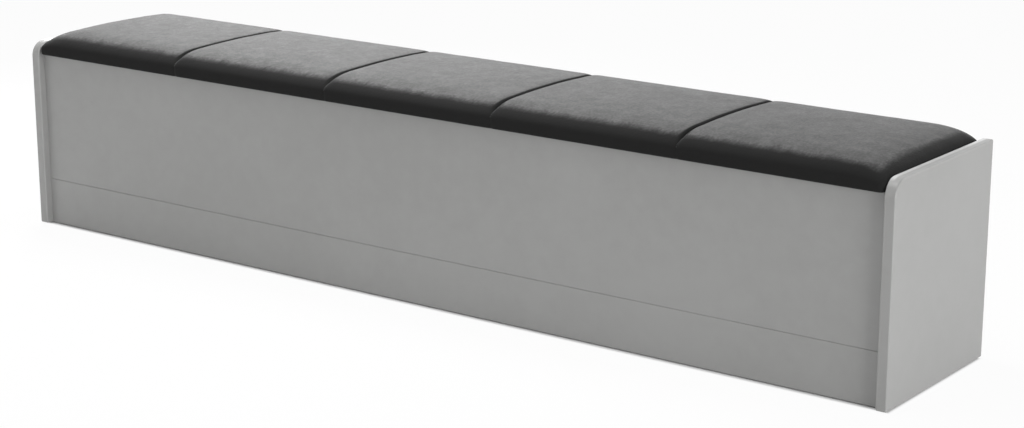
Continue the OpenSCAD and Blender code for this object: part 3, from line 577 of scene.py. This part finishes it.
def top_of_seat(x, y):
    """The tight cover without its channels, as points over a grid of x and y, round at the corners."""
    middle = (seat_low.y + FRONT_ROLL + seat_high.y - BACK_ROLL) / 2
    half = (seat_high.y - BACK_ROLL - seat_low.y - FRONT_ROLL) / 2
    crown = CROWN * np.clip(1 - ((y - middle) / half) ** 2, 0, 1)
    front = rolled(y - seat_low.y, FRONT_ROLL)
    back = rolled(seat_high.y - y, BACK_ROLL)
    z = ROLL_LEVEL + (EDGE_LEVEL - ROLL_LEVEL) * np.minimum(front, back) + crown
    z = z - end_share(x) * (z - UNDERSIDE)
    a = np.clip((np.abs(x) - (seat_high.x - PLAN_CORNER)) / PLAN_CORNER, 0, 1)
    b_front = np.clip((seat_low.y + PLAN_CORNER - y) / PLAN_CORNER, 0, 1)
    b_back = np.clip((y - seat_high.y + PLAN_CORNER) / PLAN_CORNER, 0, 1)
    b = np.maximum(b_front, b_back)
    round_x = np.sign(x) * PLAN_CORNER * (a * np.sqrt(1 - b * b / 2) - a)
    round_y = PLAN_CORNER * (b * np.sqrt(1 - a * a / 2) - b) * np.where(y < 0, -1, 1)
    return np.stack([x + round_x, y + round_y, z], axis=-1)


def grid_normals(points):
    """Unit normals of a grid of points, upwards."""
    along = np.gradient(points, axis=0)
    across = np.gradient(points, axis=1)
    normals = np.cross(along, across)
    return normals / np.linalg.norm(normals, axis=-1, keepdims=True)


def seam_distance(x):
    """Distance along the seat to the nearest seam."""
    return np.min([np.abs(x - seam) for seam in seams], axis=0)


def channels(x, y):
    """How far the cover is drawn in at each point, towards the channels between the panels."""
    distance = seam_distance(x)
    front = np.clip((y - seat_low.y) / CHANNEL_FADE_FRONT, 0, 1)
    back = np.clip((seat_high.y - y) / CHANNEL_FADE_BACK, 0, 1)
    fade = CHANNEL_AT_EDGE + (1 - CHANNEL_AT_EDGE) * np.minimum(front, back)
    wide = CHANNEL_DEPTH * np.clip(1 - distance / CHANNEL_RUN, 0, 1) ** 2
    narrow = STITCH_DEPTH * np.exp(-((distance / STITCH_RUN) ** 2))
    return fade * (wide + narrow)


def ripples(points):
    """Low uneven waves that hand-pulled cloth keeps."""
    waves = [sum(share * noise.noise((p[0] * along, p[1] * across, cut))
                 for along, across, cut, share in RIPPLE_WAVES)
             for p in points.reshape(-1, 3)]
    return RIPPLE * np.array(waves).reshape(points.shape[:2])


def below_the_roll(edge):
    """Rings from the roll's lower edge down the side, round under the board and inwards."""
    low = np.array([seat_low.x, seat_low.y])
    high = np.array([seat_high.x, seat_high.y])
    plan = edge[:, :2]
    inward = np.clip(plan, low + PLAN_CORNER, high - PLAN_CORNER) - plan
    inward = inward / np.linalg.norm(inward, axis=1, keepdims=True)
    back = np.clip((plan[:, 1] - seat_high.y + BACK_START) / BACK_BLEND, 0, 1)[:, None]
    floor = UNDERSIDE + WALL_FRONT + (WALL_BACK - WALL_FRONT) * back[:, 0]
    rings = []
    for i in range(1, WALL_STEPS + 1):
        q = i / WALL_STEPS
        z = edge[:, 2] + (floor - edge[:, 2]) * q
        rings.append(np.column_stack([plan + inward * WALL_DRAW * q * q, z]))
    for (front_in, front_z), (back_in, back_z) in zip(TURN_FRONT, TURN_BACK):
        offset = front_in + (back_in - front_in) * back
        z = UNDERSIDE + front_z + (back_z - front_z) * back[:, 0]
        rings.append(np.column_stack([plan + inward * offset, z]))
    for across, along in MARGIN:
        inset = np.array([along, across])
        flat = np.clip(plan + inward * min(across, PLAN_CORNER), low + inset, high - inset)
        rings.append(np.column_stack([flat, np.full(len(flat), UNDERSIDE - CLOTH)]))
    return rings


def grid_faces(nx, ny):
    """Faces of a grid of points, and the indices of those points."""
    index = np.arange(nx * ny).reshape(nx, ny)
    faces = np.stack([index[:-1, :-1], index[1:, :-1], index[1:, 1:], index[:-1, 1:]], axis=-1)
    return faces.reshape(-1, 4), index


def cover_shell(top):
    """Points and faces of the whole cover from the grid of its top."""
    top_faces, index = grid_faces(*top.shape[:2])
    loop = np.concatenate([index[:, 0], index[-1, 1:], index[-2::-1, -1], index[0, -2:0:-1]])
    points = [top.reshape(-1, 3)]
    faces = [top_faces]
    above = loop
    start = index.size
    for ring in below_the_roll(points[0][loop]):
        below = start + np.arange(len(loop))
        faces.append(np.column_stack([above, below, np.roll(below, -1), np.roll(above, -1)]))
        points.append(ring)
        start += len(loop)
        above = below
    return np.concatenate(points), np.concatenate(faces)


def hold_of_cover(x, y):
    """How firmly each point of the top is held: fully at the seams and at the rolls' lower edges."""
    at_seam = 1 - np.clip((seam_distance(x) - HELD_FULLY) / HELD_FADE, 0, 1)
    from_edge = np.minimum(np.minimum(y - seat_low.y, seat_high.y - y), seat_high.x - np.abs(x))
    at_edge = 1 - np.clip((from_edge - HELD_FULLY) / HELD_FADE, 0, 1)
    return np.maximum(at_seam, at_edge).ravel()


def drawn_tight(top, up):
    """How far the wadding's pressure lifts the sewn-down cloth, from a cloth simulation. The wadding
    gives back only a share of the simulated lift, and the foam carries the cloth, so it never sinks."""
    start = top - up * CLOTH_START
    faces = grid_faces(*top.shape[:2])[0]
    draft = mesh_piece("cover_draft", start.reshape(-1, 3).tolist(), faces.tolist(), velour)
    held = draft.vertex_groups.new(name="held")
    for k, weight in enumerate(hold_of_cover(grid_x, grid_y)):
        if weight > 0:
            held.add([k], float(weight), "REPLACE")
    cloth = draft.modifiers.new("cloth", "CLOTH").settings
    for name, value in CLOTH_SETTINGS.items():
        setattr(cloth, name, value)
    cloth.vertex_group_mass = "held"
    cloth.use_pressure = True
    cloth.effector_weights.gravity = 0
    for step in range(1, CLOTH_FRAMES + 1):
        scene.frame_set(step)
    evaluated = draft.evaluated_get(bpy.context.evaluated_depsgraph_get()).data
    moved = np.empty(start.size)
    evaluated.vertices.foreach_get("co", moved)
    scene.frame_set(1)
    lift = ((moved.reshape(start.shape) - start) * up).sum(axis=-1)
    bpy.data.objects.remove(draft)
    return CLOTH_SHARE * CLOTH_EASE * np.logaddexp(0, lift / CLOTH_EASE) - CLOTH_START


# The darkest colour is painted shade over the rolls, and the two lighter ones are the lit top.
VELOUR_PAINTED_SHADE = (0.015, 0.015, 0.0148, 1)
VELOUR = (0.088, 0.088, 0.088, 1)
VELOUR_LIT = (0.146, 0.146, 0.145, 1)
PAINTED_LIT_FROM = 0.872
PAINTED_LIT_OVER = 0.090
PAINTED_LIT_POWER = 2.1
STREAKS_LEAN = 0.075
FLECKS_LEAN = 0.030
SWEEP_SCALE = 17.0
PATCH_SCALE = 46.0
FLECK_SCALE = 210.0
STREAK_SCALE = 48.0
PILE_SCALE = 1400.0
NAP_HEIGHT = 0.00035
STREAK_HEIGHT = 0.0003
PILE_HEIGHT = 0.00010

velour, place = new_finish("velour", {
    "Sheen Weight": 0.25, "Sheen Roughness": 0.32, "Sheen Tint": (1, 1, 1, 1), "Specular IOR Level": 0.15,
})
lean = place.node("ShaderNodeAttribute", {"attribute_name": "lean"}, None, "Fac")
seam_shade_mask = place.node("ShaderNodeAttribute", {"attribute_name": "seam"}, None, "Fac")
sweeps = place.grain(SWEEP_SCALE, 5.0, 0.62)
patches = place.stretched(1, 0.8, 1).grain(PATCH_SCALE, 3.0, 0.6)
flecks = place.stretched(1, 0.7, 1).grain(FLECK_SCALE, 2.0, 0.6)
streaks = place.stretched(1, 0.3, 0.35).grain(STREAK_SCALE, 4.0, 0.62)
uneven = (streaks - 0.5) * STREAKS_LEAN + (flecks - 0.5) * FLECKS_LEAN
# Painted light and shade: lit colour where the normal points up, painted shade over the rolls.
painted_lit_ramp = ((lean + uneven - PAINTED_LIT_FROM) * (1 / PAINTED_LIT_OVER)).least(1).most(0)
painted_lit_share = painted_lit_ramp.maths("POWER", painted_lit_ramp, PAINTED_LIT_POWER)
nap = sweeps.step(0.3, 0.7) * 0.26 + patches.step(0.35, 0.7) * 0.32 + flecks.step(0.35, 0.7) * 0.42
pile = place.grain(PILE_SCALE, 1.0)
colour = painted_lit_share.mix(VELOUR_PAINTED_SHADE, nap.mix(VELOUR, VELOUR_LIT))
# Painted shade along the channels, partly pressed pile, laid over the colour.
feed(velour, {
    "Base Color": seam_shade_mask.mix(colour, VELOUR_PAINTED_SHADE),
    "Roughness": 0.95 - nap * painted_lit_share * 0.2,
    "Normal": (nap * NAP_HEIGHT + streaks * STREAK_HEIGHT + pile * PILE_HEIGHT).bump(),
})

grid_x, grid_y = np.meshgrid(stations_along(), stations_across(), indexing="ij")
top = top_of_seat(grid_x, grid_y)
up = grid_normals(top)
drawn_in = top - up * channels(grid_x, grid_y)[..., None]
lift = drawn_tight(top, up)
top = drawn_in + up * (lift + ripples(top))[..., None]
cover_points, cover_faces = cover_shell(top)

cover = mesh_piece("seat_cover_velour", cover_points.tolist(), cover_faces.tolist(), velour)
below = np.zeros(len(cover_points) - grid_x.size)
# Shares of the painted shade along the channels.
seam_shade_shares = np.exp(-((seam_distance(grid_x) / SEAM_SHADE) ** 2))
# The lean attribute is each normal's upward share, from which the velour paints shade over the rolls.
for name, shares in (("lean", grid_normals(drawn_in)[..., 2]), ("seam", seam_shade_shares)):
    values = cover.data.attributes.new(name, "FLOAT", "POINT")
    values.data.foreach_set("value", np.concatenate([shares.ravel(), below]).astype(np.float32))
shell = cover.modifiers.new("cloth_thickness", "SOLIDIFY")
shell.thickness = CLOTH
shell.offset = -1
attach(cover, "lid")
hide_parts("seat_cover")


# Lining under the lid: thin black non-woven cloth, its edges turned in, stapled over the cover's
# margin so that the raw edges and the board don't show.
LINING = (0.016, 0.016, 0.017, 1)
LINING_BOND = (0.030, 0.030, 0.031, 1)
LINING_THICKNESS = 0.0002
LINING_GRID = 0.012
LINING_WAVE = 0.00010
LINING_WAVES = (14, 22, 5.0)
BOND_SCALE = 420.0
BOND_DEPTH = 0.00012
FIBRE_SCALE = 1600.0
FIBRE_HEIGHT = 0.00010
HEM = 0.012
HEM_STEP = 0.00012
STAPLE_PITCH = 0.055
STAPLE_INSET = 0.007
STAPLE_CROWN = 0.010
STAPLE_WIRE = 0.0011
STAPLE_SIDE = ((-1, -0.0012), (-1, -0.0002), (-0.94, 0.0002), (-0.84, 0.0004))
STAPLE_PROUD = 0.0001
STAPLE_UNEVENNESS = 0.04
STAPLE_SEED = 3
WIRE_SIDES = 6

lining_finish, place = new_finish("non_woven", {"Sheen Weight": 0.15, "Sheen Roughness": 0.6})
dots = {"Vector": place, "Scale": BOND_SCALE, "Randomness": 0.25}
bonded = 1 - place.node("ShaderNodeTexVoronoi", None, dots).step(0.15, 0.32)
fibres = place.grain(FIBRE_SCALE, 3.0, 0.7)
feed(lining_finish, {
    "Base Color": bonded.mix(LINING, LINING_BOND),
    "Roughness": 0.85 - bonded * 0.25,
    "Normal": (fibres * FIBRE_HEIGHT - bonded * BOND_DEPTH).bump(),
})

low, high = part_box("lid_lining")
lines_x = np.array([low.x] + spread(low.x, high.x, LINING_GRID) + [high.x])
lines_y = np.array([low.y] + spread(low.y, high.y, LINING_GRID) + [high.y])
plan_x, plan_y = np.meshgrid(lines_x, lines_y, indexing="ij")
from_ends = np.minimum(plan_x - low.x, high.x - plan_x)
from_edge = np.minimum(from_ends, np.minimum(plan_y - low.y, high.y - plan_y))
along, across, cut = LINING_WAVES
wave = np.array([noise.noise((x * along, y * across, cut)) for x, y in zip(plan_x.ravel(), plan_y.ravel())])
z = UNDERSIDE - CLOTH - LINING_THICKNESS + LINING_WAVE * wave.reshape(plan_x.shape)
z = z - HEM_STEP * (from_edge < HEM)
points = np.stack([plan_x, plan_y, z], axis=-1).reshape(-1, 3)
faces = grid_faces(*plan_x.shape)[0][:, [0, 3, 2, 1]]
lining = mesh_piece("lid_lining_cloth", points.tolist(), faces.tolist(), lining_finish)
shell = lining.modifiers.new("cloth_thickness", "SOLIDIFY")
shell.thickness = LINING_THICKNESS
shell.offset = -1
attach(lining, "lid")
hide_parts("lid_lining")


def row_of_pieces():
    """Node tree that sets copies of one small piece along a path, each turned to the path and its up."""
    tree = bpy.data.node_groups.new("row_of_pieces", "GeometryNodeTree")
    tree.interface.new_socket("Geometry", in_out="OUTPUT", socket_type="NodeSocketGeometry")
    for name, kind in (("Path", "Geometry"), ("Piece", "Object"), ("Spacing", "Float"),
                       ("Unevenness", "Float"), ("Seed", "Int"), ("Finish", "Material")):
        tree.interface.new_socket(name, in_out="INPUT", socket_type=f"NodeSocket{kind}")
    start = Wire(tree).node("NodeGroupInput", output="Path")
    curve = start.node("GeometryNodeMeshToCurve", None, {"Mesh": start})
    spots = start.node("GeometryNodeCurveToPoints", {"mode": "LENGTH"},
                       {"Curve": curve, "Length": start.other("Spacing")}, "Points")
    up = start.node("GeometryNodeInputNamedAttribute", {"data_type": "FLOAT_VECTOR"}, {"Name": "up"})
    along = start.node("FunctionNodeAlignRotationToVector", {"axis": "X"},
                       {"Vector": spots.other("Tangent")})
    turned = start.node("FunctionNodeAlignRotationToVector", {"axis": "Z", "pivot_axis": "X"},
                        {"Rotation": along, "Vector": up})
    drift = start.other("Unevenness")
    size = start.node("FunctionNodeRandomValue", {"data_type": "FLOAT"},
                      {2: 1 - drift, 3: 1 + drift, "Seed": start.other("Seed")}, 1)
    piece = start.node("GeometryNodeObjectInfo", None, {"Object": start.other("Piece")}, "Geometry")
    rows = start.node("GeometryNodeInstanceOnPoints", None,
                      {"Points": spots, "Instance": piece, "Rotation": turned, "Scale": size})
    whole = start.node("GeometryNodeRealizeInstances", None, {"Geometry": rows})
    finished = start.node("GeometryNodeSetMaterial", None,
                          {"Geometry": whole, "Material": start.other("Finish")})
    end = tree.nodes.new("NodeGroupOutput")
    tree.links.new(finished.socket, end.inputs["Geometry"])
    return tree


def along_paths(name, paths, ups, piece, spacing, unevenness, seed, material):
    """One mesh of all the copies of a piece along some paths; it removes the single piece."""
    points = np.concatenate(paths)
    edges = []
    start = 0
    for path in paths:
        edges += [(start + i, start + i + 1) for i in range(len(path) - 1)]
        start += len(path)
    mesh = bpy.data.meshes.new(name)
    mesh.from_pydata(points.tolist(), edges, [])
    upward = mesh.attributes.new("up", "FLOAT_VECTOR", "POINT")
    upward.data.foreach_set("vector", np.concatenate(ups).ravel())
    made = bpy.data.objects.new(name, mesh)
    scene.collection.objects.link(made)
    maker = made.modifiers.new("row", "NODES")
    maker.node_group = row_tree
    inputs = {"Piece": piece, "Spacing": spacing, "Unevenness": unevenness,
              "Seed": seed, "Finish": material}
    for item in row_tree.interface.items_tree:
        if item.name in inputs:
            maker[item.identifier] = inputs[item.name]
    baked = bpy.data.meshes.new_from_object(made.evaluated_get(bpy.context.evaluated_depsgraph_get()))
    made.modifiers.clear()
    made.data = baked
    bpy.data.objects.remove(piece)
    return made


def bent_wire(path, radius, sides):
    """Points and faces of a closed wire along a path in the XZ plane."""
    path = np.array(path, float)
    along = np.gradient(path, axis=0)
    along = along / np.linalg.norm(along, axis=1, keepdims=True)
    points = []
    for spot, way in zip(path, along):
        for k in range(sides):
            angle = 2 * math.pi * k / sides
            out = math.cos(angle) * radius
            side = math.sin(angle) * radius
            points.append((spot[0] - way[1] * out, side, spot[1] + way[0] * out))
    faces = [tuple(range(sides)), tuple(reversed(range(len(points) - sides, len(points))))]
    for ring in range(len(path) - 1):
        for k in range(sides):
            a = ring * sides + k
            b = ring * sides + (k + 1) % sides
            faces.append((a, a + sides, b + sides, b))
    return points, faces


row_tree = row_of_pieces()
leg = [(share * STAPLE_CROWN / 2, z) for share, z in STAPLE_SIDE]
bow = leg + [(-x, z) for x, z in reversed(leg)]
staple = mesh_piece("staple", *bent_wire(bow, STAPLE_WIRE / 2, WIRE_SIDES), strip_x)
left, right = low.x + STAPLE_INSET, high.x - STAPLE_INSET
front, back = low.y + STAPLE_INSET, high.y - STAPLE_INSET
level = UNDERSIDE - CLOTH - LINING_THICKNESS * 2 - HEM_STEP - STAPLE_PROUD
corners = [(left, front), (right, front), (right, back), (left, back), (left, front)]
ring = np.array([(x, y, level) for x, y in corners])
staples = along_paths("lining_staples", [ring[i:i + 2] for i in range(4)],
                      [np.array([[0, 0, -1.0]] * 2)] * 4, staple, STAPLE_PITCH,
                      STAPLE_UNEVENNESS, STAPLE_SEED, strip_x)
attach(staples, "lid")


# Channel stitching: one row of strong thread down each channel, through the cover and the wadding.
# Each stitch dips into the cloth at both its ends, a little way from the next.
STITCH_PITCH = 0.0050
STITCH_LENGTH = 0.0040
THREAD = 0.00075
THREAD_DARK = (0.008, 0.008, 0.008, 1)
THREAD_WORN = (0.020, 0.020, 0.020, 1)
TWIST_SCALE = 900.0
TWIST_HEIGHT = 0.00008
STITCH_SIDE = ((-1, -0.0005), (-0.8, 0.0), (-0.45, 0.00028))
STITCH_TOP = 0.00038
STITCH_UNEVENNESS = 0.06
STITCH_SEED = 7
FIRST_ROW = 2
LAST_ROWS = 3

thread, place = new_finish("sewing_thread", {"Sheen Weight": 0.3, "Sheen Roughness": 0.4})
twist = place.node("ShaderNodeTexWave", None, {"Vector": place, "Scale": TWIST_SCALE}, "Fac")
feed(thread, {
    "Base Color": twist.mix(THREAD_DARK, THREAD_WORN),
    "Roughness": 0.55 + twist * 0.15,
    "Normal": (twist * TWIST_HEIGHT).bump(),
})
dip = [(share * STITCH_LENGTH / 2, z) for share, z in STITCH_SIDE]
loop = dip + [(0, STITCH_TOP)] + [(-x, z) for x, z in reversed(dip)]
stitch = mesh_piece("stitch", *bent_wire(loop, THREAD / 2, WIRE_SIDES), thread)
paths = []
ups = []
outward = grid_normals(top)
for seam in seams:
    column = int(np.argmin(np.abs(grid_x[:, 0] - seam)))
    paths.append(top[column, FIRST_ROW:-LAST_ROWS])
    ups.append(outward[column, FIRST_ROW:-LAST_ROWS])
stitching = along_paths("channel_stitching", paths, ups, stitch, STITCH_PITCH,
                        STITCH_UNEVENNESS, STITCH_SEED, thread)
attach(stitching, "lid")


# The studio: a pale floor that shows the bench's shadow close to its foot, soft light from above, from
# the right, from behind and from the front, and the camera where the photo was taken from.
FLOOR_SIZE = 30.0
FLOOR_PALE = (0.90, 0.90, 0.90, 1)
FLOOR_ROUGHNESS = 0.7
FLOOR_SHINE = 0.2
BACKDROP_SHARE = 0.95
FOOTPRINT = (1.094, 0.183)
CONTACT_RUN = 0.011
CAMERA_PLACE = (2.8130, -3.6437, 1.3861)
CAMERA_PITCH = -15.003
CAMERA_YAW = 36.4115
CAMERA_LENS = 79.2
CAMERA_REACH = 60
WORLD_LEVEL = 0.32

mesh = bpy.data.meshes.new("floor")
corner = FLOOR_SIZE / 2
mesh.from_pydata([(-corner, -corner, 0), (corner, -corner, 0), (corner, corner, 0), (-corner, corner, 0)],
                 [], [(0, 1, 2, 3)])
floor = bpy.data.objects.new("studio_floor", mesh)
scene.collection.objects.link(floor)
floor_finish = bpy.data.materials.new("studio_floor")
floor_finish.use_nodes = True
tree = floor_finish.node_tree
start = Wire(tree)
seen = start.node("ShaderNodeLightPath", output="Is Camera Ray")
seen = seen.most(seen.other("Is Glossy Ray")).most(seen.other("Is Transmission Ray"))
shader = tree.nodes["Principled BSDF"]
shader.inputs["Base Color"].default_value = FLOOR_PALE
shader.inputs["Roughness"].default_value = FLOOR_ROUGHNESS
shader.inputs["Specular IOR Level"].default_value = FLOOR_SHINE
place = start.node("ShaderNodeTexCoord", output="Object")
x = place.node("ShaderNodeSeparateXYZ", None, {"Vector": place})
y = x.other("Y")
apart = (x.maths("ABSOLUTE", x) - FOOTPRINT[0]).most(y.maths("ABSOLUTE", y) - FOOTPRINT[1])
share = seen * apart.step(0, CONTACT_RUN) * BACKDROP_SHARE
glow = start.node("ShaderNodeEmission", None, {"Strength": 1.0})
blend = start.node("ShaderNodeMixShader", None, {0: share, 1: Wire(tree, shader.outputs[0]), 2: glow})
tree.links.new(blend.socket, tree.nodes["Material Output"].inputs["Surface"])
mesh.materials.append(floor_finish)

world = bpy.data.worlds.new("studio")
scene.world = world
world.use_nodes = True
start = Wire(world.node_tree)
seen = start.node("ShaderNodeLightPath", output="Is Camera Ray")
seen = seen.most(seen.other("Is Glossy Ray")).most(seen.other("Is Transmission Ray"))
background = world.node_tree.nodes["Background"]
world.node_tree.links.new((WORLD_LEVEL + seen * (1 - WORLD_LEVEL)).socket, background.inputs["Strength"])
background.inputs["Color"].default_value = (1, 1, 1, 1)


def soft_lamp(name, place, target, width, height, power):
    """A rectangular soft box that faces its target."""
    light = bpy.data.lights.new(name, "AREA")
    light.shape = "RECTANGLE"
    light.size = width
    light.size_y = height
    light.energy = power
    lamp = bpy.data.objects.new(name, light)
    lamp.location = place
    aim = np.array(target, float) - np.array(place, float)
    pitch = math.acos(-aim[2] / np.linalg.norm(aim))
    lamp.rotation_euler = (pitch, 0, math.atan2(-aim[0], aim[1]))
    scene.collection.objects.link(lamp)


soft_lamp("overhead", (-0.6, -0.5, 3.0), (-0.2, -0.1, 0.3), 3.0, 0.8, 30)
soft_lamp("near_overhead", (-0.36, 0.3, 1.75), (-0.36, 0.1, 0.4), 0.9, 0.6, 20)
soft_lamp("behind_left", (-1.9, 1.1, 1.2), (-0.7, 0, 0.4), 1.0, 1.0, 23)
soft_lamp("right_side", (4.4, -1.2, 0.8), (1.1, 0, 0.2), 1.6, 1.2, 80)
soft_lamp("front_left", (-2.2, -4.2, 1.6), (-0.5, -0.1, 0.2), 2.0, 2.0, 14)

lens = bpy.data.cameras.new("camera")
lens.lens = CAMERA_LENS
lens.clip_end = CAMERA_REACH
camera = bpy.data.objects.new("camera", lens)
camera.location = CAMERA_PLACE
camera.rotation_euler = (math.radians(90 + CAMERA_PITCH), 0, math.radians(CAMERA_YAW))
scene.collection.objects.link(camera)
scene.camera = camera
scene.view_settings.view_transform = "Standard"
